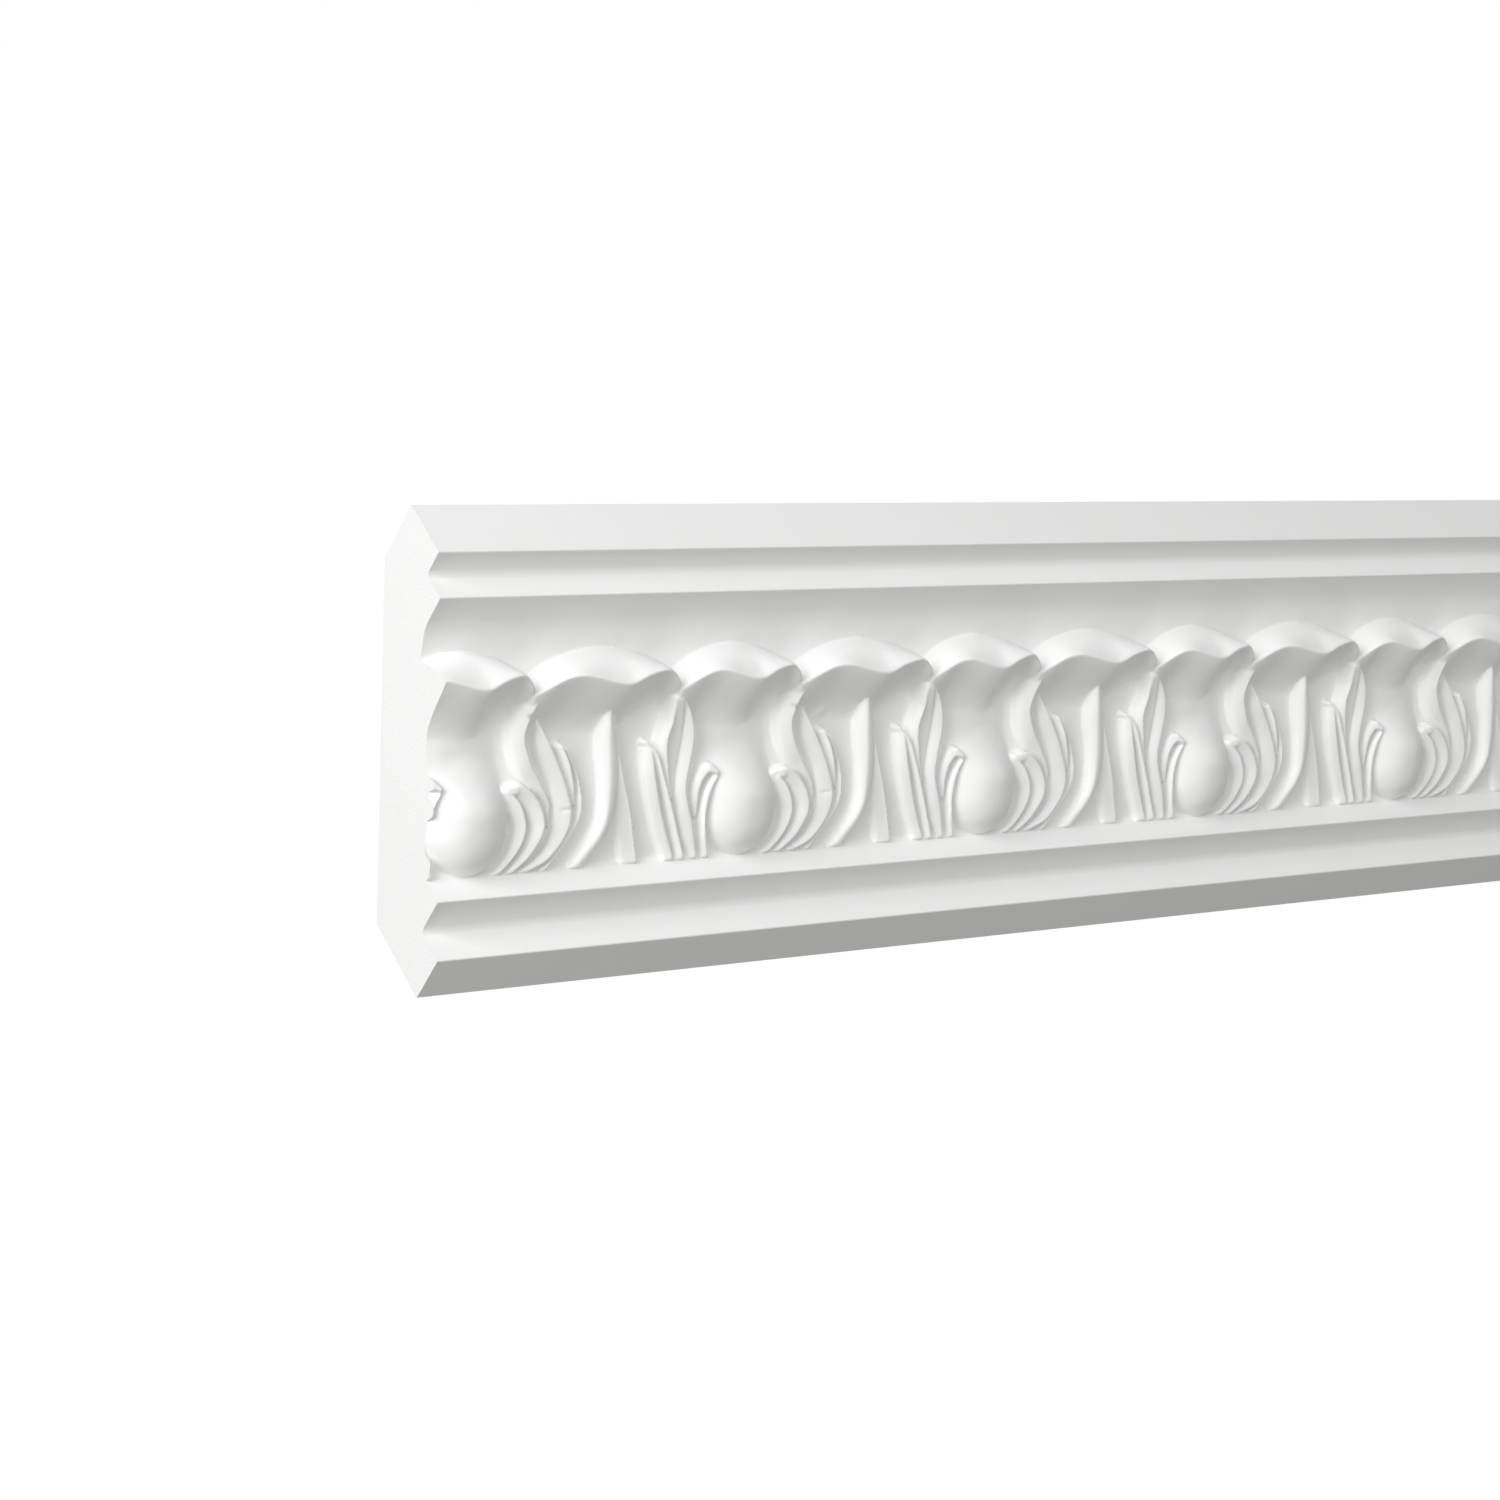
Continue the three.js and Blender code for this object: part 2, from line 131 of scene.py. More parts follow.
# leaf blades, root to tip: each station is (across, up, half width, rise of the crest)
blades = {
    "flame": [
        (30.5, 10, 0.5, 1.3), (30, 15, 0.7, 1.9), (26.5, 20, 1.6, 2.4), (23.5, 24, 2.3, 2.7),
        (22, 29.5, 2, 3.1), (23.2, 34, 1.9, 3.5), (25.3, 36.9, 1.2, 3.9),
    ],
    "hookInner": [
        (17.5, 0.4, 0.8, 1.2), (21, 5, 1.2, 2.6), (22.7, 10, 1.7, 3.1),
        (21.3, 15, 1.6, 2.9), (18.5, 18, 0.8, 2.2),
    ],
    "hookOuter": [
        (20.8, 0.4, 0.8, 1.2), (24.5, 4.5, 1.6, 2.5), (27.1, 10, 2.3, 3.1),
        (25.7, 15, 2.2, 3.1), (22.5, 18.2, 1.7, 2.9), (19.3, 18.4, 1, 2.4),
    ],
    "broad": [
        (24.5, 0.4, 0.7, 1.1), (30, 3.8, 1.5, 2.1), (34.3, 11, 2.5, 2.5),
        (32.8, 19, 2.3, 2.5), (29.3, 26.8, 2.2, 2.3), (27.3, 32.8, 0.7, 1.5),
    ],
    "slipInner": [
        (37.4, 14.3, 0.5, 1.5), (36.2, 19, 0.9, 2.2), (34.8, 23.3, 1.1, 2.5), (33.3, 26.9, 1.1, 2.1),
    ],
    "slipOuter": [
        (29.8, 0.5, 0.6, 1.1), (35, 6, 0.7, 1.6), (38.5, 12, 0.8, 1.8),
        (38.3, 19.3, 0.6, 1.7), (35.8, 26.2, 0.5, 1.4),
    ],
    "rib": [
        (38.6, 0.4, 1.7, 1.1), (45.1, 8.5, 2.2, 2.4), (46.9, 18, 2.8, 2.5),
        (46.8, 27, 3, 2.6), (46.4, 35, 1.5, 2.4),
    ],
    "ribBack": [(54.4, 0.4, 0.8, 0.9), (52, 12, 0.8, 1.6), (48.9, 23.8, 0.8, 1.9), (47.8, 34.6, 0.6, 1.4)],
    "spearLeft": [
        (64, 0.4, 1.4, 1.1), (60.3, 9.3, 1.7, 1.9), (57.9, 18.3, 1.7, 2.4),
        (57.3, 24, 1.4, 2.2), (57, 27.2, 0.5, 1.4),
    ],
    "spearRight": [
        (67, 0.5, 1.2, 1.2), (63.1, 12, 1, 2.2), (60.4, 20, 0.9, 2.5),
        (58.7, 24.3, 1, 2.4), (56.6, 26.9, 0.7, 1.7),
    ],
    "tallLeft": [
        (63.8, 14, 0.4, 1.4), (62.2, 20, 0.9, 2.1), (61, 26.5, 1.2, 2.7),
        (62.6, 31.5, 1, 3.1), (63.3, 36.6, 0.8, 3.7),
    ],
    "tallBody": [
        (64, 14.2, 0.6, 1.2), (63.9, 21, 1.8, 1.4), (64.4, 28, 2.8, 1.8),
        (64.5, 32.5, 2.5, 2.8), (64.4, 36.3, 1.7, 3.8),
    ],
    "tallRight": [
        (70.7, 0.5, 1.1, 1.1), (68.3, 7.4, 2, 2), (66.4, 16.3, 1.6, 2.4),
        (67.8, 27, 2.2, 2.8), (66.8, 33.3, 1.8, 3.2), (64.4, 36.8, 0.9, 3.7),
    ],
    "curlLeft": [
        (70.8, 9.8, 0.5, 1.4), (70.3, 14, 1, 2), (71, 17.8, 1.2, 2.5),
        (73.2, 20.5, 1.5, 2.9), (75.5, 19.5, 0.7, 3.5),
    ],
    "curlRight": [
        (74, 0.5, 1.1, 1.1), (72.8, 5.3, 0.9, 2), (72.6, 10.6, 0.8, 2.4),
        (73.4, 15.3, 0.9, 2.8), (75.3, 18.8, 0.6, 3.4),
    ],
}

# across a blade: a crisp left edge, a face that leans to the left and a short steep right
# flank; the face levels out where the blade turns sideways
bladeShape = {
    "samples": 120,  # places along a blade that the grid is measured from
    "crestAt": 0.5,  # from -1 at the left foot to 1 at the right foot
    "ribCrestAt": -0.3,  # the rib is rounder, with a broad right side
    "edge": 0.45,  # height of the left edge, as a share of the crest's
    "edgeSpan": 0.22,  # share of the face that the left edge takes to rise
    "faceCurve": 0.5,
    "flank": 0.6,
    "leastHalf": 0.25,
    "patchMargin": 0.5,  # kept around a blade's widest reach
    "ribBackLeft": 4.5,  # the rib's back is broad to the left of its line
    "level": ("tallBody",),  # a hollow with a level face, between two crests
}

# small faults that the photo shows: place from the left end and up, long and short half
# sizes, turn in degrees, and how far the surface is pushed in (or out, if below 0)
faults = {
    "pinhole": (24.2, 34.2, 0.42, 0.38, 0, 0.8),
    "tipNotch": (97.9, 33.3, 1.3, 0.35, -18, 0.6),
    "leafNick": (34.7, 13.3, 1.2, 0.3, 4, 0.4),
    "secondLeafNick": (107.9, 13.2, 1.1, 0.3, 4, 0.35),
    "ribChip": (47.4, 31.2, 0.7, 0.4, 10, 0.3),
    "swelling": (107.2, 31.3, 2.4, 1.1, 30, -0.3),
    "bulbScratch": (84.9, 23.6, 2.2, 0.3, -50, 0.1),
    "hookFlaw": (92.9, 17.9, 0.8, 0.5, 60, 0.3),
}
# slow unevenness of a casting from a hand-made pattern, as crossed waves that wander sideways
unevenness = {
    "waves": [(31, 0.07), (12.3, 0.05), (5.9, 0.02)],  # wavelength and height
    "wander": 1.7,
    "wanderRate": 0.6,
    "upRate": 0.8,
}


def throughKnots(knots, t):
    # smooth curve through (place, value) knots, for a whole array of places
    places, values = np.array(knots, float).T
    slopes = np.empty_like(values)
    slopes[1:-1] = (values[2:] - values[:-2]) / (places[2:] - places[:-2])
    slopes[0] = (values[1] - values[0]) / (places[1] - places[0])
    slopes[-1] = (values[-1] - values[-2]) / (places[-1] - places[-2])
    i = np.clip(np.searchsorted(places, t, "right") - 1, 0, len(places) - 2)
    span = places[i + 1] - places[i]
    f = np.clip((t - places[i]) / span, 0, 1)
    rest = 1 - f
    start = values[i] * (1 + 2 * f) * rest ** 2 + slopes[i] * span * f * rest ** 2
    end = values[i + 1] * f ** 2 * (3 - 2 * f) - slopes[i + 1] * span * f ** 2 * rest
    return start + end


def ease(low, high, value):
    f = np.clip((value - low) / (high - low), 0, 1)
    return f * f * (3 - 2 * f)


def mix(a, b, share):
    return a + (b - a) * share


def softMax(a, b, softness):
    near = np.clip(softness - np.abs(a - b), 0, None) / softness
    return np.maximum(a, b) + near ** 2 * softness / 4


def bulbOut(across, up):
    # how far the bulb and its neck stand out from the ground
    below = np.clip((bulb["up"] - up) / (bulb["up"] - bulb["footUp"]), 0, 1)
    foot = np.sqrt(1 - below ** bulb["footCurve"])
    neck = ease(bulb["neckFrom"], bulb["neckUp"], up)
    centre = bulb["across"] + bulb["neckShift"] * neck
    halfWidth = mix(bulb["halfWidth"], bulb["neckHalfWidth"], neck) * foot
    reach = mix(bulb["reach"], bulb["neckReach"], neck) * foot
    side = np.clip(np.abs(across - centre) / np.maximum(halfWidth, bulb["leastHalfWidth"]), 0, 1)
    fullness = mix(bulb["sideFullness"], bulb["neckFullness"], neck)
    return reach * (1 - side ** bulb["sideCurve"]) ** fullness


def lobeRuns():
    # start and length of both lobes of a repeat: the second one fills what the first leaves
    start, length = lobes["firstRun"]
    return [(start, length), (start + length, band["drawnAcross"] - length)]


def lobeOut(across, up, backdrop, start, length):
    # one lobe over the backdrop: its top rolls out from the cove, its underside is scooped
    t = (across - start) / length
    inside = (t > lobes["startFrom"]) & (t < 1)
    tIn = np.clip(t, 0, 1)
    ridgeUp = throughKnots(lobes["ridgeUp"], tIn)
    ridgeOut = throughKnots(lobes["ridgeOut"], tIn)
    arch = np.sin(np.pi * np.clip((t - lobes["archStart"]) / lobes["archSpan"], 0, 1))
    edgeUp = lobes["sideUp"] + (lobes["crownUp"] - lobes["sideUp"]) * arch ** lobes["archFullness"]
    edgeOut = throughKnots(band["coveLine"], edgeUp) + lobes["rim"]
    share = np.clip((up - ridgeUp) / (edgeUp - ridgeUp), 0, 1)
    top = edgeOut + (ridgeOut - edgeOut) * (1 - share ** lobes["shoulder"]) ** lobes["nose"]
    fromLine = (edgeUp - up - lobes["lineDown"]) / lobes["lineHalf"]
    top = top - lobes["lineDepth"] * (1 - ease(*lobes["lineEnd"], t)) * np.exp(-fromLine ** 2)
    drop = np.clip((ridgeUp - up) / throughKnots(lobes["undercut"], tIn), 0, 1)
    under = backdrop + (ridgeOut - backdrop) * (1 - drop ** lobes["lipSoftness"]) ** lobes["undercutCurve"]
    surface = np.where(up > ridgeUp, top, under)
    end = np.clip((t - lobes["endFrom"]) / (1 - lobes["endFrom"]), 0, 1)
    begin = np.clip(t / lobes["startFrom"], 0, 1)
    whole = np.sqrt(1 - end ** 2) * np.sqrt(1 - begin ** 2)
    lifted = backdrop + (surface - backdrop) * whole
    return np.where(inside & (up < edgeUp), lifted, -np.inf)


def bladeSection(spread, edge, crest):
    # share of the full rise at a place across the blade, from -1 at the left foot to 1
    face = np.clip((spread + 1) / (1 + crest), 0, 1)
    wall = np.sqrt(1 - (1 - np.clip(face / bladeShape["edgeSpan"], 0, 1)) ** 2)
    lean = face * (1 + bladeShape["faceCurve"] * (1 - face))
    left = mix(lean, 1, edge) * wall
    right = (1 - np.clip((spread - crest) / (1 - crest), 0, 1) ** 2) ** bladeShape["flank"]
    return np.where(spread < crest, left, right)


def addBlade(out, across, up, ground, name, shift):
    # lays one blade into the height field, only on the patch that it can reach
    stations = blades[name]
    leftShare = bladeShape["ribBackLeft"] if name == "ribBack" else 1
    crest = bladeShape["ribCrestAt"] if name == "rib" else bladeShape["crestAt"]
    leaning = 0 if name in bladeShape["level"] else 1
    columns = [list(enumerate(column)) for column in zip(*stations)]
    t = np.linspace(0, len(stations) - 1, bladeShape["samples"])
    line = np.stack([throughKnots(columns[0], t) + shift, throughKnots(columns[1], t)], axis=1)
    rate = np.gradient(line, t, axis=0)
    speed = np.linalg.norm(rate, axis=1)
    heading = rate / speed[:, None]
    reach = max(station[2] for station in stations) * leftShare + bladeShape["patchMargin"]
    low = line.min(0) - reach
    high = line.max(0) + reach
    cols = slice(*np.searchsorted(across, (low[0], high[0])))
    rows = slice(*np.searchsorted(up, (low[1], high[1])))
    patchX, patchY = np.meshgrid(across[cols], up[rows], indexing="ij")
    if patchX.size == 0:
        return
    gapX = patchX[..., None] - line[:, 0]
    gapY = patchY[..., None] - line[:, 1]
    nearest = np.argmin(gapX ** 2 + gapY ** 2, axis=-1)
    dx = patchX - line[nearest, 0]
    dy = patchY - line[nearest, 1]
    forward = dx * heading[nearest, 0] + dy * heading[nearest, 1]
    side = dx * heading[nearest, 1] - dy * heading[nearest, 0]
    rawT = t[nearest] + forward / speed[nearest]
    at = np.clip(rawT, 0, len(stations) - 1)
    past = np.abs(rawT - at) * speed[nearest]
    half = np.maximum(throughKnots(columns[2], at), bladeShape["leastHalf"])
    spread = side / np.where(side < 0, half * leftShare, half)
    ending = past / half
    edge = mix(1, bladeShape["edge"], leaning * np.clip(heading[nearest, 1], 0, 1))
    crown = bladeSection(np.clip(spread, -1, 1), edge, crest) * np.sqrt(1 - np.clip(ending, 0, 1) ** 2)
    floor = ground[cols, rows]
    lifted = floor + (throughKnots(columns[3], at) - floor) * crown
    lifted = np.where((np.abs(spread) < 1) & (ending < 1), lifted, -np.inf)
    out[cols, rows] = softMax(out[cols, rows], lifted, band["grooveSoftness"])


def unevenOut(x, y):
    # what the faults and the slow unevenness add to the height
    change = np.zeros_like(x)
    for faultX, faultY, long, short, turn, push in faults.values():
        angle = math.radians(turn)
        along = (x - faultX) * math.cos(angle) + (y - faultY) * math.sin(angle)
        beside = (y - faultY) * math.cos(angle) - (x - faultX) * math.sin(angle)
        change -= push * np.exp(-(along / long) ** 4 - (beside / short) ** 2)
    for i, (wavelength, height) in enumerate(unevenness["waves"]):
        turnX = 2 * np.pi * x / wavelength
        turnY = 2 * np.pi * y / wavelength
        wander = unevenness["wander"] * np.sin(unevenness["wanderRate"] * turnY + i)
        change += height * np.sin(turnX + wander) * np.cos(unevenness["upRate"] * turnY + 2 * i)
    return change


def carveField(across, up):
    # height of the carved band on a grid, from all lobes, bulbs and blades that reach it
    x, y = np.meshgrid(across, up, indexing="ij")
    shifts = [repeat * band["drawnAcross"] for repeat in range(-1, run["repeatCount"] + 1)]
    bare = throughKnots(band["groundLine"], y)
    ground = bare
    for shift in shifts:
        ground = np.maximum(ground, bare + bulbOut(x - shift, y))
    cove = throughKnots(band["coveLine"], y)
    coveShare = ease(*band["coveBlend"], y)
    plain = mix(bare, cove, coveShare)
    backdrop = mix(ground, cove, coveShare)
    out = backdrop.copy()
    for shift in shifts:
        for start, length in lobeRuns():
            out = np.maximum(out, lobeOut(x, y, backdrop, start + shift, length))
    for shift in shifts:
        for name in blades:
            addBlade(out, across, up, plain, name, shift)
    out = out + unevenOut(x, y)
    inFoot = np.clip(1 - y / band["footRound"], 0, 1)
    out = out * np.sqrt(1 - inFoot ** 2)

    # the primer softens the relief a little, first along the moulding and then up the band
    soft = out.copy()
    soft[1:-1] = (out[:-2] + 2 * out[1:-1] + out[2:]) / 4
    out = soft.copy()
    out[:, 1:-1] = (soft[:, :-2] + 2 * soft[:, 1:-1] + soft[:, 2:]) / 4
    out[:, 0] = 0
    out[:, -1] = 0
    return out


def outline():
    # corners of the section as (out, up), from the carved band's foot round to its head
    s = section
    ceilingUp = s["dropHeight"] - s["wallFace"]
    footBandTop = s["footBand"] - s["wallFace"]
    lowerOut = s["footDepth"] + s["lowerStep"]
    bandFoot = (lowerOut, footBandTop + s["lowerBand"])
    upperOut = s["projection"] - s["upperStep"]
    topBandFoot = ceilingUp - s["topBand"]
    soffitUp = topBandFoot - s["upperBand"]
    bandHead = (upperOut - s["soffitDepth"], soffitUp)
    corners = [
        (lowerOut, footBandTop, s["edgeRadius"]),
        (s["footDepth"], footBandTop, s["cornerFillet"]),
        (s["footDepth"], -s["wallFace"], s["edgeRadius"]),
        (0, -s["wallFace"], s["edgeRadius"]),
        (0, 0, s["edgeRadius"]),
        (s["projection"] - s["ceilingFace"], ceilingUp, s["edgeRadius"]),
        (s["projection"], ceilingUp, s["edgeRadius"]),
        (s["projection"], topBandFoot, s["edgeRadius"]),
        (upperOut, topBandFoot, s["cornerFillet"]),
        (upperOut, soffitUp, s["edgeRadius"]),
    ]
    return bandFoot, bandHead, corners


def roundedOutline(first, corners, last):
    # the same corners with each one turned into a short arc
    places = [Vector(first)] + [Vector(c[:2]) for c in corners] + [Vector(last)]
    points = []
    for before, corner, after, (_, _, radius) in zip(places, places[1:], places[2:], corners):
        into = (before - corner).normalized()
        away = (after - corner).normalized()
        angle = into.angle(away)
        tangent = radius / math.tan(angle / 2)
        start = corner + into * tangent
        end = corner + away * tangent
        centre = corner + (into + away).normalized() * (radius / math.sin(angle / 2))
        for step in range(section["arcSteps"] + 1):
            blend = start.lerp(end, step / section["arcSteps"]) - centre
            points.append(centre + blend.normalized() * radius)
    return points


def placeOf(x, out, up):
    # point of the section at x, all in millimetres, in the scene's metres
    return Vector((x * mm, -out * mm, (up + section["wallFace"] / 2) * mm))


def deselectAll():
    if bpy.context.object and bpy.context.object.mode != "OBJECT":
        bpy.ops.object.mode_set(mode="OBJECT")
    bpy.ops.object.select_all(action="DESELECT")


def selectOnly(obj):
    deselectAll()
    obj.select_set(True)
    bpy.context.view_layer.objects.active = obj


def carvedSheet(bandFoot, bandHead):
    # a grid primitive pressed into the carved band, then thinned where it is flat
    pitch = band["pitch"] * 1
    cols = round(run["length"] / pitch) + 1
    rows = round(band["drawnUp"] / pitch) + 1
    deselectAll()
    bpy.ops.mesh.primitive_grid_add(x_subdivisions=cols - 1, y_subdivisions=rows - 1, size=1)
    sheet = bpy.context.object
    flat = np.empty(len(sheet.data.vertices) * 3, np.float32)
    sheet.data.vertices.foreach_get("co", flat)
    flat = flat.reshape(-1, 3) + 0.5  # from 0 to 1 both ways
    across = np.linspace(0, band["drawnAcross"] * run["repeatCount"], cols)
    up = np.linspace(0, band["drawnUp"], rows)
    out = carveField(across, up)
    i = np.rint(flat[:, 0] * (cols - 1)).astype(int)
    j = np.rint(flat[:, 1] * (rows - 1)).astype(int)
    foot = np.array(bandFoot)
    head = np.array(bandHead)
    fieldSpan = np.linalg.norm(head - foot)
    fieldUp = (head - foot) / fieldSpan
    fieldOut = np.array((fieldUp[1], -fieldUp[0]))
    scale = fieldSpan / band["drawnUp"]
    spot = foot + (up[j, None] * fieldUp + out[i, j, None] * fieldOut) * scale
    x = across[i] / across[-1] * run["length"] - run["length"] / 2
    places = np.stack([x, -spot[:, 0], spot[:, 1] + section["wallFace"] / 2], axis=1) * mm
    sheet.data.vertices.foreach_set("co", places.astype(np.float32).ravel())
    sheet.data.update()
    selectOnly(sheet)
    fewer = sheet.modifiers.new("thin", "DECIMATE")
    fewer.ratio = min(1, band["trianglesKept"] / (2 * (cols - 1) * (rows - 1)))
    bpy.ops.object.modifier_apply(modifier=fewer.name)
    straightenBorders(sheet, foot, head)
    print("carved band", cols, "x", rows, "thinned to", len(sheet.data.polygons), "faces")
    return sheet


def straightenBorders(sheet, foot, head):
    # thinning shifts a few vertices off the sheet's four straight borders, so they go back
    bpy.ops.object.mode_set(mode="EDIT")
    bpy.ops.mesh.select_mode(type="VERT")
    bpy.ops.mesh.select_all(action="DESELECT")
    bpy.ops.mesh.select_non_manifold()
    bpy.ops.object.mode_set(mode="OBJECT")
    half = run["length"] / 2 * mm
    reach = band["pitch"] * mm / 2
    for vertex in sheet.data.vertices:
        if vertex.select:
            for line in (placeOf(0, *foot), placeOf(0, *head)):
                if (vertex.co.yz - line.yz).length < reach:
                    vertex.co.yz = line.yz
            if abs(vertex.co.x) > half - reach:
                vertex.co.x = math.copysign(half, vertex.co.x)


def straightRun(points):
    # straight bands and back: an edge as long as the moulding, extruded round the section
    half = run["length"] / 2
    deselectAll()
    bpy.ops.mesh.primitive_plane_add(size=1)
    bands = bpy.context.object
    ends = [placeOf(x, *point) for point in points[:2] for x in (-half, half)]
    for vertex, place in zip(bands.data.vertices, ends):
        vertex.co = place
    for before, after in zip(points[1:], points[2:]):
        selectLines(bands, [placeOf(0, *before)])
        step = placeOf(0, *after) - placeOf(0, *before)
        bpy.ops.mesh.extrude_edges_move(TRANSFORM_OT_translate={"value": step})
    bpy.ops.object.mode_set(mode="OBJECT")
    print("straight bands", len(bands.data.polygons), "faces")
    return bands


def selectLines(piece, lines):
    # picks the vertices that lie on lines along the run, given by one place on each
    bpy.ops.object.mode_set(mode="OBJECT")
    places = np.empty(len(piece.data.vertices) * 3, np.float32)
    piece.data.vertices.foreach_get("co", places)
    places = places.reshape(-1, 3)
    near = 0.002 * mm  # more than rounding moves a vertex, less than any step of the section
    picked = np.zeros(len(places), bool)
    for line in lines:
        picked |= (abs(places[:, 1] - line.y) < near) & (abs(places[:, 2] - line.z) < near)
    bpy.ops.object.mode_set(mode="EDIT")
    bpy.ops.mesh.select_mode(type="VERT")
    bpy.ops.mesh.select_all(action="DESELECT")
    bpy.ops.object.mode_set(mode="OBJECT")
    piece.data.vertices.foreach_set("select", picked)
    bpy.ops.object.mode_set(mode="EDIT")


def makeCornice():
    # the whole casting as one closed mesh
    bandFoot, bandHead, corners = outline()
    points = roundedOutline(bandFoot, corners, bandHead)
    sheet = carvedSheet(bandFoot, bandHead)
    bands = straightRun(points)
    deselectAll()
    bands.select_set(True)
    sheet.select_set(True)
    bpy.context.view_layer.objects.active = sheet
    bpy.ops.object.join()
    cornice = bpy.context.object
    cornice.name = "cornice_casting"
    cornice.data.name = "cornice_casting"

    # one strip joins each long edge of the carved sheet to the bands, then the ends are closed
    for borders in ((bandFoot, points[0]), (bandHead, points[-1])):
        selectLines(cornice, [placeOf(0, *border) for border in borders])
        bpy.ops.mesh.edge_face_add()
    bpy.ops.mesh.select_all(action="SELECT")
    bpy.ops.mesh.fill_holes(sides=0)
    bpy.ops.mesh.select_all(action="SELECT")
    bpy.ops.mesh.normals_make_consistent(inside=False)
    bpy.ops.object.mode_set(mode="OBJECT")
    bpy.ops.object.shade_smooth_by_angle(angle=math.radians(section["sharpAngle"]))
    weighted = cornice.modifiers.new("even shading", "WEIGHTED_NORMAL")
    weighted.keep_sharp = True
    bpy.ops.object.modifier_apply(modifier=weighted.name)
    print("cornice", len(cornice.data.polygons), "faces")
    return cornice


def linearColour(hexColour):
    # sRGB hex to the linear values that the shaders take
    channels = [int(hexColour[i:i + 2], 16) / 255 for i in (1, 3, 5)]
    linear = [c / 12.92 if c <= 0.04045 else ((c + 0.055) / 1.055) ** 2.4 for c in channels]
    return (*linear, 1)


def addNode(tree, kind, settings=None, links=None):
    # one node with its settings, and its inputs joined to other nodes' outputs
    node = tree.nodes.new(kind)
    for name, value in (settings or {}).items():
        if name in node.inputs:
            node.inputs[name].default_value = value
        else:
            setattr(node, name, value)
    for name, output in (links or {}).items():
        tree.links.new(output, node.inputs[name])
    return node


